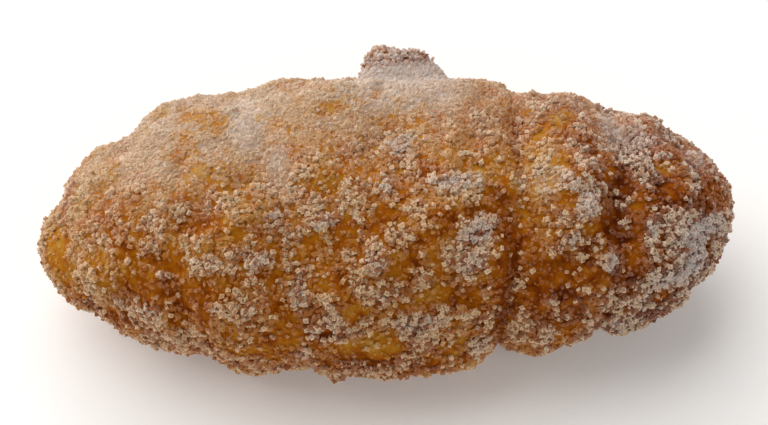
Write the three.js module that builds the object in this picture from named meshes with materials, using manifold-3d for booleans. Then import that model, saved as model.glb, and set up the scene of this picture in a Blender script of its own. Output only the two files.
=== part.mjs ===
// A custard doughnut: rolled, laminated dough in the shape of a straight croissant, fried and
// covered in granulated sugar. One closed solid holds the whole pastry. Its long axis is X, its
// front is -Y and it rests on Z = 0. All sizes are in millimetres and all angles in radians.
//
// The roll is built round an axis that runs from tip to tip. Seven wraps of dough lie side by
// side along it. Each has its own girth and rounded shoulders, and a groove parts it from the
// next one. A tongue of dough stands out of the back, and crusts of sugar lie on the surface.
import * as THREE from "three";
import { mergeVertices } from "three/addons/utils/BufferGeometryUtils.js";
import Module from "manifold-3d";

const degrees = Math.PI / 180;

// Driving dimensions
const LENGTH = 148.2; // tip to tip, under the sugar
const DEPTH = 66.2; // front to back at the middle wrap, without the tongue
const CROWN = 25.3; // from the roll's axis up to the crown of the middle wrap
const BELLY = 21.6; // from the roll's axis down to the underside of the middle wrap
const AXIS_HEIGHT = 20.4; // of the roll's axis above the table, at the middle wrap
const SECTION_POWER = 0.9; // 1 makes each section an ellipse, and less makes it squarer
const MIDDLE_SHIFT = [0, -0.9]; // puts the middle of the outline over the origin, in X and Y

// Grooves between the wraps, from left to right: middle place along X, how far each leans from
// it to the right at the front foot and to the left at the back, how much further it sweeps to
// the left at the back, its girth as a share, and how much of it sugar fills over the crown.
const FRONT_FOOT = -40 * degrees; // the angle round the roll where the grooves lean furthest
const FILLED_SIDE = 70 * degrees; // the angle round the roll where sugar fills the grooves
const GROOVES = [
  { name: "left tip", x: -LENGTH / 2, lean: 0, sweep: 0, girth: 0.4, fill: 0 },
  { name: "first left groove", x: -65.2, lean: 4, sweep: 0, girth: 0.4, fill: 0 },
  { name: "second left groove", x: -45.6, lean: 6.6, sweep: 2, girth: 0.74, fill: 0.3 },
  { name: "third left groove", x: -20.6, lean: 2.6, sweep: 7.7, girth: 0.9, fill: 0.6 },
  { name: "first right groove", x: 24, lean: -3.4, sweep: 0, girth: 0.825, fill: 0.4 },
  { name: "second right groove", x: 44.8, lean: -3.4, sweep: 0, girth: 0.705, fill: 0.3 },
  { name: "third right groove", x: 62.4, lean: 0, sweep: 0, girth: 0.55, fill: 0.3 },
  { name: "right tip", x: LENGTH / 2, lean: 0, sweep: 0, girth: 0.56, fill: 0 },
];

// Wraps between the grooves: girths at the left edge and the right edge, how far the wrap swells
// between them, the widths over which its shoulders round off, and its number of mesh rings.
const WRAPS = [
  { name: "left end", girths: [0.41, 0.42], swell: 0.01, shoulders: [1, 3], rings: 6 },
  { name: "left outer wrap", girths: [0.475, 0.8], swell: 0.02, shoulders: [5, 4], rings: 10 },
  { name: "left inner wrap", girths: [0.85, 0.99], swell: 0.02, shoulders: [7, 4], rings: 11 },
  { name: "middle wrap", girths: [1.01, 0.95], swell: 0.03, shoulders: [7, 7], rings: 17 },
  { name: "right inner wrap", girths: [0.88, 0.8], swell: 0.025, shoulders: [4, 6], rings: 10 },
  { name: "right outer wrap", girths: [0.745, 0.64], swell: 0.03, shoulders: [4, 6], rings: 9 },
  { name: "right end", girths: [0.58, 0.54], swell: 0, shoulders: [3, 1], rings: 10 },
];
const SPOKES = 46; // mesh points round each ring
const TIP_ROUND = [13, 17]; // lengths over which the left and right ends round off

// How the roll's axis wanders: forward is towards -Y. It changes smoothly between the stations.
const AXIS_WANDER = [
  { x: -75, forward: -2.6, down: 2.6 },
  { x: -62, forward: -0.2, down: 1.6 },
  { x: -44, forward: 0.2, down: 0.2 },
  { x: -24, forward: -0.9, down: 0 },
  { x: -6, forward: -1.4, down: 0 },
  { x: 19, forward: -2.0, down: -0.2 },
  { x: 30, forward: 0.8, down: -0.2 },
  { x: 46, forward: 0.6, down: -0.2 },
  { x: 56, forward: 0.3, down: -0.4 },
  { x: 66, forward: -1.0, down: -0.6 },
  { x: 75, forward: -3.0, down: -1.0 },
];

// Single swellings and dents: place along X, degrees round the roll from the front upwards,
// reach along X and round the roll in millimetres, and height.
const SWELLINGS = [
  { name: "fold behind the left end", x: -71, angle: 138, reach: [2.6, 9], height: -2.2 },
  { name: "bulge beside that fold", x: -64, angle: 138, reach: [3, 9], height: 0.8 },
  { name: "hollow behind the left outer wrap", x: -54.6, angle: 138, reach: [4.4, 12], height: -2.1 },
  { name: "corner behind the left inner wrap", x: -46.8, angle: 136, reach: [4.4, 9], height: 1.6 },
  { name: "hollow behind the right inner wrap", x: 35, angle: 138, reach: [5, 10], height: -1 },
  { name: "hollow behind the right outer wrap", x: 52, angle: 138, reach: [5, 12], height: -1.8 },
  { name: "low back of the right end", x: 68, angle: 126, reach: [8, 12], height: -2.6 },
  { name: "front heel of the left end", x: -65, angle: -40, reach: [4, 9], height: 1.4 },
  { name: "front heel of the left outer wrap", x: -52, angle: -40, reach: [5, 9], height: 2.2 },
  { name: "front heel of the left inner wrap", x: -32, angle: -40, reach: [7, 10], height: 2.4 },
  { name: "front belly of the middle wrap", x: 7, angle: -38, reach: [11, 14], height: 2.8 },
  { name: "front heel of the right inner wrap", x: 29, angle: -38, reach: [6, 9], height: 2.2 },
  { name: "front heel of the right outer wrap", x: 49, angle: -38, reach: [4, 9], height: 2.2 },
  { name: "front heel of the right end", x: 68, angle: -38, reach: [4, 8], height: 1.4 },
  { name: "hollow above the right heel", x: 20, angle: 5, reach: [9, 14], height: -1.3 },
  { name: "hollow left of the crown", x: -12, angle: 60, reach: [10, 9], height: -0.9 },
  { name: "ridge over the right inner wrap", x: 37, angle: 70, reach: [7, 22], height: 0.9 },
];

// Uneven crust: plane waves of a few lengths, with directions spread by the golden angle
const GOLDEN_ANGLE = Math.PI * (3 - Math.sqrt(5));
const CRUST_WAVES = [
  { length: 23, height: 0.34, count: 7 },
  { length: 10.5, height: 0.2, count: 9 },
  { length: 5.6, height: 0.11, count: 11 },
];

// The tongue of dough that stands out of the back
const TONGUE = {
  x: [3.3, 5.8], // middle of its width, at its root and at its end
  rootWidth: 24.5,
  endWidth: 16.4,
  thickness: [9.4, 6.8], // at its root and at its end
  corner: 3.3, // radius of the corners of its end
  curl: 1.7, // how far its end turns up
  skew: 3.2, // its left corner reaches this much further than its middle
  root: [12, 33], // Y and Z of its middle, deep inside the roll
  end: [29.9, 38.9], // Y and Z of its middle at the end
  rings: 11,
  spokes: 16,
};

// Crusts of sugar: lumps of grains that are too small to model one by one
const SUGAR = {
  candidates: 100,
  radius: [1.3, 2.9],
  proud: [0.8, 1.3], // how far a lump stands out of the dough
  clearOfTable: 6,
  seed: 20260,
};

const mix = (a, b, t) => a + (b - a) * t;
const clamp = (v, low, high) => Math.min(high, Math.max(low, v));
const smooth = (t) => t * t * (3 - 2 * t);
const signedPower = (v, power) => Math.sign(v) * Math.pow(Math.abs(v), power);

// A seeded draw of numbers from 0 to 1
function drawNumbers(seed) {
  let state = seed >>> 0;
  return () => {
    state = (Math.imul(state, 1664525) + 1013904223) >>> 0;
    return state / 4294967296;
  };
}

// Height of the uneven crust at a point
function crustRelief(x, y, z) {
  let height = 0;
  CRUST_WAVES.forEach((wave, band) => {
    for (let i = 0; i < wave.count; i++) {
      const turn = GOLDEN_ANGLE * (i + 1) * (band + 1);
      const rise = 1 - (2 * i + 1) / wave.count;
      const flat = Math.sqrt(1 - rise * rise);
      const along = x * flat * Math.cos(turn) + y * flat * Math.sin(turn) + z * rise;
      height += wave.height * Math.sin((2 * Math.PI * along) / wave.length + 1.7 * i + band);
    }
  });
  return height;
}

// Where a groove crosses the roll at an angle
function grooveAt(groove, angle) {
  const forward = Math.cos(angle - FRONT_FOOT);
  return groove.x + groove.lean * forward - groove.sweep * Math.max(0, -forward) ** 3;
}

// How deep a groove still is at an angle, as a share
function grooveDepth(groove, angle) {
  return 1 - groove.fill * clamp(1.5 * Math.cos(angle - FILLED_SIDE), 0, 1);
}

// A shoulder's rise from 0 at the groove to 1 once clear of it, as a quarter of an ellipse
function shoulderRise(distance, width) {
  const t = clamp(distance / width, 0, 1);
  return Math.sqrt(1 - (1 - t) * (1 - t));
}

// Girth of the roll at a point along the axis, as a share of the middle wrap's
function girthAt(x, angle) {
  let i = 0;
  while (i < WRAPS.length - 1 && x >= grooveAt(GROOVES[i + 1], angle)) i++;
  const wrap = WRAPS[i];
  const left = grooveAt(GROOVES[i], angle);
  const right = grooveAt(GROOVES[i + 1], angle);
  const t = clamp((x - left) / (right - left), 0, 1);
  const full = mix(wrap.girths[0], wrap.girths[1], t) + wrap.swell * 4 * t * (1 - t);
  const dip = (groove, distance, shoulder) =>
    (full - groove.girth) * grooveDepth(groove, angle) * (1 - shoulderRise(distance, shoulder));
  let girth = full;
  if (i > 0) girth -= dip(GROOVES[i], x - left, wrap.shoulders[0]);
  if (i < WRAPS.length - 1) girth -= dip(GROOVES[i + 1], right - x, wrap.shoulders[1]);
  const leftCap = shoulderRise(x + LENGTH / 2, TIP_ROUND[0]);
  const rightCap = shoulderRise(LENGTH / 2 - x, TIP_ROUND[1]);
  return girth * leftCap * rightCap;
}

// The roll's axis at x, as [y, z]
function axisAt(x) {
  let i = 0;
  while (i < AXIS_WANDER.length - 2 && x > AXIS_WANDER[i + 1].x) i++;
  const [a, b] = [AXIS_WANDER[i], AXIS_WANDER[i + 1]];
  const t = smooth(clamp((x - a.x) / (b.x - a.x), 0, 1));
  return [-mix(a.forward, b.forward, t), AXIS_HEIGHT - mix(a.down, b.down, t)];
}

// A point on the roll. Angle 0 faces the front, and a quarter turn faces up.
function rollPoint(x, angle) {
  const girth = girthAt(x, angle);
  const [axisY, axisZ] = axisAt(x);
  const across = -signedPower(Math.cos(angle), SECTION_POWER) * (DEPTH / 2) * girth;
  const reach = Math.sin(angle) > 0 ? CROWN : BELLY;
  const up = signedPower(Math.sin(angle), SECTION_POWER) * reach * girth;
  const radius = Math.hypot(across, up);
  let relief = crustRelief(x, across, up);
  for (const swelling of SWELLINGS) {
    let turn = angle - swelling.angle * degrees;
    turn -= 2 * Math.PI * Math.round(turn / (2 * Math.PI));
    const along = (x - swelling.x) / swelling.reach[0];
    const round = (turn * radius) / swelling.reach[1];
    relief += swelling.height * Math.exp(-(along * along + round * round));
  }
  const grown = 1 + (relief * Math.min(1, girth / 0.4)) / Math.max(radius, 6);
  return new THREE.Vector3(
    x + MIDDLE_SHIFT[0],
    axisY + across * grown + MIDDLE_SHIFT[1],
    Math.max(0, axisZ + up * grown),
  );
}

// A closed surface from rings of points, with a single point at each end
function closedRings(start, rings, end) {
  const spokes = rings[0].length;
  const points = [start, ...rings.flat(), end];
  const index = [];
  const at = (ring, spoke) => 1 + ring * spokes + (spoke % spokes);
  const last = points.length - 1;
  for (let spoke = 0; spoke < spokes; spoke++) {
    index.push(0, at(0, spoke), at(0, spoke + 1));
    for (let ring = 0; ring < rings.length - 1; ring++) {
      const [a, b] = [at(ring, spoke), at(ring, spoke + 1)];
      const [c, d] = [at(ring + 1, spoke), at(ring + 1, spoke + 1)];
      index.push(a, d, b, a, c, d);
    }
    index.push(last, at(rings.length - 1, spoke + 1), at(rings.length - 1, spoke));
  }
  const geometry = new THREE.BufferGeometry().setFromPoints(points);
  geometry.setIndex(index);
  return geometry;
}

// The rolled dough: its rings follow the grooves and lie closer together beside them
function rollGeometry() {
  const rings = [];
  WRAPS.forEach((wrap, i) => {
    const last = i === WRAPS.length - 1 ? wrap.rings - 1 : wrap.rings;
    for (let k = 1; k <= last; k++) {
      const t = (1 - Math.cos((Math.PI * k) / wrap.rings)) / 2;
      const ring = [];
      for (let j = 0; j < SPOKES; j++) {
        const angle = (2 * Math.PI * j) / SPOKES;
        const x = mix(grooveAt(GROOVES[i], angle), grooveAt(GROOVES[i + 1], angle), t);
        ring.push(rollPoint(x, angle));
      }
      rings.push(ring);
    }
  });
  return closedRings(rollPoint(-LENGTH / 2, 0), rings, rollPoint(LENGTH / 2, 0));
}

// The tongue: rounded sections along a straight line that leaves the roll upwards to the back
function tongueGeometry() {
  const [rootY, rootZ] = TONGUE.root;
  const run = [TONGUE.end[0] - rootY, TONGUE.end[1] - rootZ];
  const length = Math.hypot(...run);
  const [runY, runZ] = [run[0] / length, run[1] / length];
  const rings = [];
  for (let i = 0; i < TONGUE.rings; i++) {
    const share = 1 - Math.pow(1 - i / (TONGUE.rings - 1), 1.5);
    const capped = Math.max(0, (share - 0.86) / 0.14);
    const cap = Math.sqrt(1 - 0.62 * capped * capped);
    const half = mix(TONGUE.rootWidth, TONGUE.endWidth, share * share) / 2;
    const width = half - TONGUE.corner * (1 - cap);
    const curl = TONGUE.curl * smooth(clamp((share - 0.45) / 0.55, 0, 1));
    const thick = (mix(...TONGUE.thickness, share) * cap) / 2;
    const ring = [];
    for (let j = 0; j < TONGUE.spokes; j++) {
      const angle = (2 * Math.PI * j) / TONGUE.spokes;
      const across = signedPower(Math.cos(angle), 0.7) * width;
      const lift = signedPower(Math.sin(angle), 0.8) * thick + curl;
      const along = share * length - (TONGUE.skew * share * across) / width;
      const x = mix(...TONGUE.x, share) + across;
      const y = rootY + runY * along - runZ * lift;
      const z = rootZ + runZ * along + runY * lift;
      const bump = 1.4 * crustRelief(x, y, z) * share;
      const [shiftX, shiftY] = MIDDLE_SHIFT;
      ring.push(new THREE.Vector3(x + shiftX, y + bump * runY + shiftY, z + bump * runZ));
    }
    rings.push(ring);
  }
  const middle = (ring) =>
    ring.reduce((sum, p) => sum.add(p), new THREE.Vector3()).divideScalar(ring.length);
  return closedRings(middle(rings[0]), rings, middle(rings[rings.length - 1]));
}

// The crusts of sugar: low lumps, spread by the golden angle and thinned by a seeded draw
function sugarGeometries() {
  const draw = drawNumbers(SUGAR.seed);
  const lumps = [];
  for (let i = 0; i < SUGAR.candidates; i++) {
    const x = (LENGTH / 2) * (-0.97 + (1.94 * (i + 0.5)) / SUGAR.candidates);
    const angle = (i * GOLDEN_ANGLE) % (2 * Math.PI);
    const radius = mix(...SUGAR.radius, draw());
    const proud = mix(...SUGAR.proud, draw());
    const stretch = mix(0.75, 1.35, draw());
    const turn = draw() * Math.PI;
    const kept = draw();
    const point = rollPoint(x, angle);
    if (point.z < SUGAR.clearOfTable || kept > 0.35 + 0.65 * girthAt(x, angle)) continue;
    const along = rollPoint(x + 1, angle).sub(rollPoint(x - 1, angle));
    const round = rollPoint(x, angle + 0.02).sub(rollPoint(x, angle - 0.02));
    const normal = round.cross(along).normalize();
    const up = new THREE.Vector3(0, 0, 1);
    const facing = new THREE.Quaternion().setFromUnitVectors(up, normal);
    const place = new THREE.Matrix4().compose(
      point.addScaledVector(normal, proud * 0.2),
      facing.multiply(new THREE.Quaternion().setFromAxisAngle(up, turn)),
      new THREE.Vector3(radius * stretch, radius / stretch, proud * 0.8),
    );
    lumps.push(new THREE.IcosahedronGeometry(1, 0).applyMatrix4(place));
  }
  return lumps;
}

const wasm = await Module();
wasm.setup();

function toSolid(geometry) {
  const bare = geometry.clone();
  bare.deleteAttribute("normal");
  bare.deleteAttribute("uv");
  const merged = mergeVertices(bare, 1e-4);
  return new wasm.Manifold(
    new wasm.Mesh({
      numProp: 3,
      vertProperties: new Float32Array(merged.attributes.position.array),
      triVerts: new Uint32Array(merged.index.array),
    }),
  );
}

function toGeometry(solid) {
  const mesh = solid.getMesh();
  const geometry = new THREE.BufferGeometry();
  geometry.setAttribute("position", new THREE.BufferAttribute(mesh.vertProperties, 3));
  geometry.setIndex(new THREE.BufferAttribute(mesh.triVerts, 1));
  geometry.computeVertexNormals();
  return geometry;
}

// One piece of pastry: the roll with its tongue, then each lump of sugar
let pastry = toSolid(rollGeometry()).add(toSolid(tongueGeometry()));
for (const lump of sugarGeometries()) pastry = pastry.add(toSolid(lump));

const crust = new THREE.MeshStandardMaterial({ color: 0xc08a52, roughness: 0.62, metalness: 0 });
const mesh = new THREE.Mesh(toGeometry(pastry), crust);
mesh.name = "pastry";

const doughnut = new THREE.Group();
doughnut.add(mesh);

export default doughnut;
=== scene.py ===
# A sugared custard doughnut: its fried crust with fine relief, and the sugar grains that lie on it
import math

import bpy
import numpy as np
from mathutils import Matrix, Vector


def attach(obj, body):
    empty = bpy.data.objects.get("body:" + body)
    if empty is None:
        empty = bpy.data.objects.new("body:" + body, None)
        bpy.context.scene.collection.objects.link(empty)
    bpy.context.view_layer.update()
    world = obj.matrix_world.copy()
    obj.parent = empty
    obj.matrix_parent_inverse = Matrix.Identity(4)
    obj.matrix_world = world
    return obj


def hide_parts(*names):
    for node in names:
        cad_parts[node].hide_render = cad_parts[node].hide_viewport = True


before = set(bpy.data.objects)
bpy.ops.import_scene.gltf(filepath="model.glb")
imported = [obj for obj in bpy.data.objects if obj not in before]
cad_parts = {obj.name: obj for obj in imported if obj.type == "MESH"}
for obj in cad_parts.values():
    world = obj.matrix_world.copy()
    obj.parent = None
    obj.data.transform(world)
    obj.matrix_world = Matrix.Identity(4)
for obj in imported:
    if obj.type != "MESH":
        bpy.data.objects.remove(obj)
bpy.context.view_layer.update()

MM = 0.001
NODE = "pastry"
SEED = 40817  # of the grains

# The photograph's view
AZIMUTH = math.radians(-4)
ELEVATION = math.radians(50)
DISTANCE = 320 * MM
LOOK_AT = Vector((0, 0, 21)) * MM
FRAME_SHIFT = (-0.86 * MM, 2.25 * MM)  # right and up, puts the pastry where the photograph has it
SENSOR = 36  # millimetres
LENS = 70  # millimetres
NEAREST_SEEN = 10 * MM

# Light and floor, with places and sizes in metres
LIGHTS = {
    "window": {"place": (-0.8, 0.9, 1.2), "size": 3.0, "energy": 55, "colour": (1.0, 0.98, 0.96)},
    "front_fill": {"place": (0.25, -0.7, 0.5), "size": 0.6, "energy": 1.2, "colour": (1.0, 0.97, 0.93)},
}
BACKDROP_COLOUR = (1.0, 0.99, 0.98, 1)
BACKDROP_STRENGTH = 0.285
FLOOR_COLOUR = (0.93, 0.92, 0.91, 1)
FLOOR_HALF_SIDE = 1.6
FLOOR_GLOW = 0.12

# Crust mesh
VOXEL = 0.6 * MM
SMOOTHING_PASSES = 6
CAVITY_PASSES = 70  # of smoothing, to tell hollows from ridges
ROLL_AXIS_HEIGHT = 20.4  # millimetres above the table, as in the solid

# A pair named _FROM is the value at which something begins, and the one at which it is whole
RIM_FROM = (33.0, 35.0)  # millimetres from the roll's axis, where only the tongue's end is
RELIEF_FROM = (0.2, 3.0)  # millimetres above the table
GRAINS_FROM = (1.2, 5.0)  # millimetres above the table
CRACK_FROM = (0.16, 0.02)  # of the noise for cracks, without its sign
FLAKY_FROM = (0.0, 0.6)  # of the noise for flaky areas
PIT_FROM = (0.42, 0.75)  # of the noise for pits
LOW_FROM = (32, 24)  # millimetres above the table
BACK_FROM = (8, 20)  # millimetres behind the roll's axis
# The right end is browner from here: partly the dough's browning, partly painted shade on the end turned
# away from the light
BROWN_AND_SHADED_END_FROM = (10, 60)  # millimetres to the right of the middle
CLEAN_END_FROM = (25, 60)
RIGHT_FROM = (-50, 50)
THIN_DUST_FROM = (0.3, 0.6)  # of haze
HAZY_DUST_FROM = (0.2, 0.95)
LUMP_LOST_FROM = (0.1, 0.7)
MILKY_FROM = (0.1, 0.7)
SUGAR_DUST_FROM = (-0.2, 0.7)  # of the sugar's thickness
LUMP_FROM = (0.5, 1.2)
COVER_FROM = (-0.6, 0.35)
BRIGHT_LUMPS_FROM = (0.1, 1.2)  # of the sugar's thickness with its bits
THICK_FROM = (-0.5, 0.4)
PAINTED_SHADE_FROM = (0.3, 1.0)

# Noises on the crust: the size of their swells in millimetres, a seed and the number of layers
NOISES = {
    "ragged along x": (4.2, 60, 3),
    "ragged along y": (4.2, 61, 3),
    "ragged along z": (4.2, 62, 3),
    "flaky areas": (16, 5, 2),
    "flakes": (1.5, 3, 2),
    "blisters": (5.2, 11, 3),
    "pits": (3.4, 17, 2),
    "crumb": (1.15, 23, 2),
    "cracks": (4.3, 53, 1),
    "patches of sugar": (6.5, 41, 3),
    "clumps of sugar": (2.2, 47, 2),
    "small bits of sugar": (1.3, 97, 1),
    "large bits of sugar": (2.6, 98, 1),
    "wide browning": (13, 71, 2),
    "close browning": (3.6, 77, 3),
}
LAYER_SHARE = 0.55  # of a noise's layer in strength, compared with the one above it
LAYER_SEED_STEP = 31
RAGGED_REACH = 1.3  # millimetres that the noise moves the edge of a patch
BITS_OF_SUGAR = {"small": 0.5, "large": 0.3}  # how much of each noise

# Flakes of dough: they follow the wraps' lean, and are long round the roll and narrow along it
WRAP_LEAN = 6  # millimetres
LEAN_TURN = math.radians(40)
LEAN_GROWS_IN = 40  # millimetres from the middle, to the left
LEAN_AT_RIGHT = -0.6  # of the lean on the left
FLAKY_MOST = 0.6
FLAKE_ROUND = 9  # times as long round the roll as along it
FLAKE_DEEP = 6  # times as long in depth

# Relief of the crust in millimetres, and how much of it goes where the dough is bare
RELIEF_PARTS = {"flakes": 0.35, "blisters": 0.36, "pits": -0.5, "crumb": 0.1}
RELIEF_LOST_WHERE_BARE = 0.45
LUMP_HEIGHT = 0.3  # of sugar where it lies thick
LUMP_SWELL = 0.9  # more or less, by its bits

# Haze of fine sugar, from 0 to 1: its strength in the middle, and in how many millimetres it gains 1
# It thickens towards the back, the left and the top, the lit side, so it is partly painted light
HAZE_IN_MIDDLE = 0.34
HAZE_TOWARDS_BACK = 70
HAZE_TOWARDS_LEFT = 450
HAZE_UPWARDS = 90
HAZE_MIDDLE_HEIGHT = 30
HAZE_LOST_LOW_AT_BACK = 0.4
HAZE_LEAST = 0.03
HAZE_MOST = 0.85
HAZE_LOST_WHERE_BARE = 0.5
HAZE_LOST_ON_RIM = 0.55
BARE_LOST_IN_HAZE = 0.3
THIN_DUST = 0.32

# What each thing adds to the sugar's thickness, the dough's browning and the sugar's cleanness
SUGAR_PARTS = {
    "everywhere": 0.36,
    "haze": 0.35,
    "hazy places": 0.4,
    "patches": 0.75,
    "clumps": 0.45,
    "hollows": -0.12,
    "heaps": 0.85,
    "bare": -1.25,
    "cracks": -0.55,
    "rim": -0.2,
}
BROWNING_PARTS = {
    "everywhere": 0.52,
    "wide noise": 0.2,
    "close noise": 0.2,
    # browner right end: partly the dough, partly painted shade on the side turned from the light
    "right end": 0.32,
    # paler dough under the haze, which thickens towards the lit side: partly painted light
    "haze": -0.3,
    # browning in the hollows is painted shade, darker where the crust folds in
    "hollows": 0.2,
    "flakes": -0.12,
    "cracks": 0.3,
    "rim": 0.4,
}
CLEANNESS_PARTS = {"haze": 0.6, "heaps": 0.6, "hazy places": 0.4, "right end": 0.4}
NOISE_LOST_IN_PLACES = 0.7  # of the sugar's patches and clumps, in bare places and heaps
HEAP_MOST = 0.9
OWN_BROWNING = 0.9  # of a bare place's browning in the browning there
BITS_IN_LUMPS = 1.2  # how much the bits of sugar add to its thickness, for lumps and for dust
BITS_IN_DUST = 0.5

# Crust colours by browning, from pale dough to the darkest fried edges; the darker ones also give the
# painted shade
BROWNING = [
    (0.0, (0.48, 0.27, 0.06)),
    (0.25, (0.43, 0.175, 0.010)),
    (0.5, (0.36, 0.102, 0.002)),
    (0.75, (0.22, 0.045, 0.001)),
    (1.0, (0.10, 0.016, 0.001)),
]
SUGAR_CLEAN = (0.585, 0.495, 0.45)
SUGAR_OILY = (0.71, 0.50, 0.30)
SUGAR_DUST = (0.405, 0.296, 0.22)
SUGAR_FROST = (0.60, 0.51, 0.475)

# The crust's map for baking: six views of it, each with its place in millimetres on a square
CRUST_VIEWS = {
    "top": {"axis": 2, "high": True, "across": [0, 1], "place": (77, 38)},
    "underside": {"axis": 2, "high": False, "across": [0, 1], "place": (77, 114)},
    "back": {"axis": 1, "high": True, "across": [0, 2], "place": (77, 153)},
    "front": {"axis": 1, "high": False, "across": [0, 2], "place": (77, 203)},
    "right end": {"axis": 0, "high": True, "across": [1, 2], "place": (192, 1)},
    "left end": {"axis": 0, "high": False, "across": [1, 2], "place": (192, 52)},
}
CRUST_VIEWS_SIDE = 254

# The kinds of grain: one piece each, with sizes in millimetres and a least share of bright grains
GRAIN_KINDS = {
    "sugar_fine": {"count": 16300, "size": (0.35, 0.6), "lies": "dusted", "piled": 0.2, "bright": 0},
    "sugar_common": {"count": 16300, "size": (0.5, 0.85), "lies": "evenly", "piled": 0.3, "bright": 0},
    "sugar_coarse": {"count": 12000, "size": (0.55, 0.95), "lies": "clumped", "piled": 0.8, "bright": 0.35},
    "sugar_heaped": {"count": 11000, "size": (0.45, 0.85), "lies": "heaped", "piled": 1.4, "bright": 0.5},
}

# How close together the grains lie: flat ones by the sugar's cover and haze, piled ones by its lumps
LYING_FLAT = {
    "dusted": {"anywhere": 0.3, "covered": 0.2, "hazy": 1.1},
    "evenly": {"anywhere": 0.1, "covered": 0.75, "hazy": 0.3},
}
LYING_PILED = {
    "clumped": {"anywhere": 0.03, "lumps_from": (0.1, 0.9), "less_haze": 1.15},
    "heaped": {"anywhere": 0.02, "lumps_from": (0.45, 1.1), "less_haze": 1.3},
}
HAZE_OVER_PILES = 2

# A grain: a cube with uneven corners, which are moved by shares of its size
CUBE = np.array([[x, y, z] for x in (-1, 1) for y in (-1, 1) for z in (-1, 1)]) * 0.5
CUBE_FACES = np.array(
    [[0, 1, 3, 2], [4, 6, 7, 5], [0, 4, 5, 1], [2, 3, 7, 6], [0, 2, 6, 4], [1, 5, 7, 3]]
)
CORNER_OUT = (-0.3, 0.18)  # least and most
CORNER_ASIDE = (-0.09, 0.09)
STRETCH = (0.78, 1.25)
LIFT_LEAST = 0.15  # of its size, from the crust to a grain's middle
LIFT_SPREAD = 0.9
FACET_SHARE = 0.6  # of a facet in its shading, where the crust below gives the rest
FACET_SHARE_LOST_IN_HAZE = 0.12

# A grain's square in its piece's map, which has a part for each of its facets
CELLS = 128  # squares along each side of the map, one for each grain
FACET_COLUMNS = 3
FACET_ROWS = 2

# Bright grains: how many there are where the sugar is lumpy, oily or clean
BRIGHT_IN_LUMPS = 0.7
BRIGHT_IF_OILY = 0.4
BRIGHT_IF_CLEAN = 0.6
BRIGHT_MOST = 0.7
BRIGHT_MOST_IF_CLEAN = 0.15

# Whiteness of the grains: 1 is only the sugar's own colour and 0 only that of the crust below
STRONG = 0.73  # bright grains
STRONG_MORE_AT_RIGHT = 0.14
STRONG_LESS_IN_HAZE = 0.25
STRONG_SPREAD = 0.25
FAINT_MOST = 0.24  # the other grains
FAINT_WHERE_THIN = 0.2
FAINT_WHERE_THICK = 0.8
FAINT_MORE_IN_HAZE = 0.06
WHITE_IF_OILY = 0.75
WHITE_MORE_IF_CLEAN = 0.3
LOST_WHERE_BARE = 0.6
CORNER_RISE = 0.7  # how much whiter a corner is that stands up by the grain's size
CORNER_SPREAD = 0.35
CORNER_MIDDLE = 0.75
CORNER_RANGE = (0.1, 1.5)
SPREAD_LOST_IN_HAZE = 0.1
DUST_ON_GRAINS = 0.7
# Painted shade: the grains between bright ones in lumps are made browner, as if in shadow
PAINTED_SHADE_IN_LUMPS = 0.3  # how much browner the grains between bright ones are
BROWN_LESS_WITH_RISE = 0.2

# Numbers that scramble a cell's place and a seed into one that looks random
CELL_FACTORS = (73856093, 19349663, 83492791)
SEED_FACTOR = 2654435761
MIXES = ((15, 2246822519), (13, 3266489917))
WORD = 2**32 - 1

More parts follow.
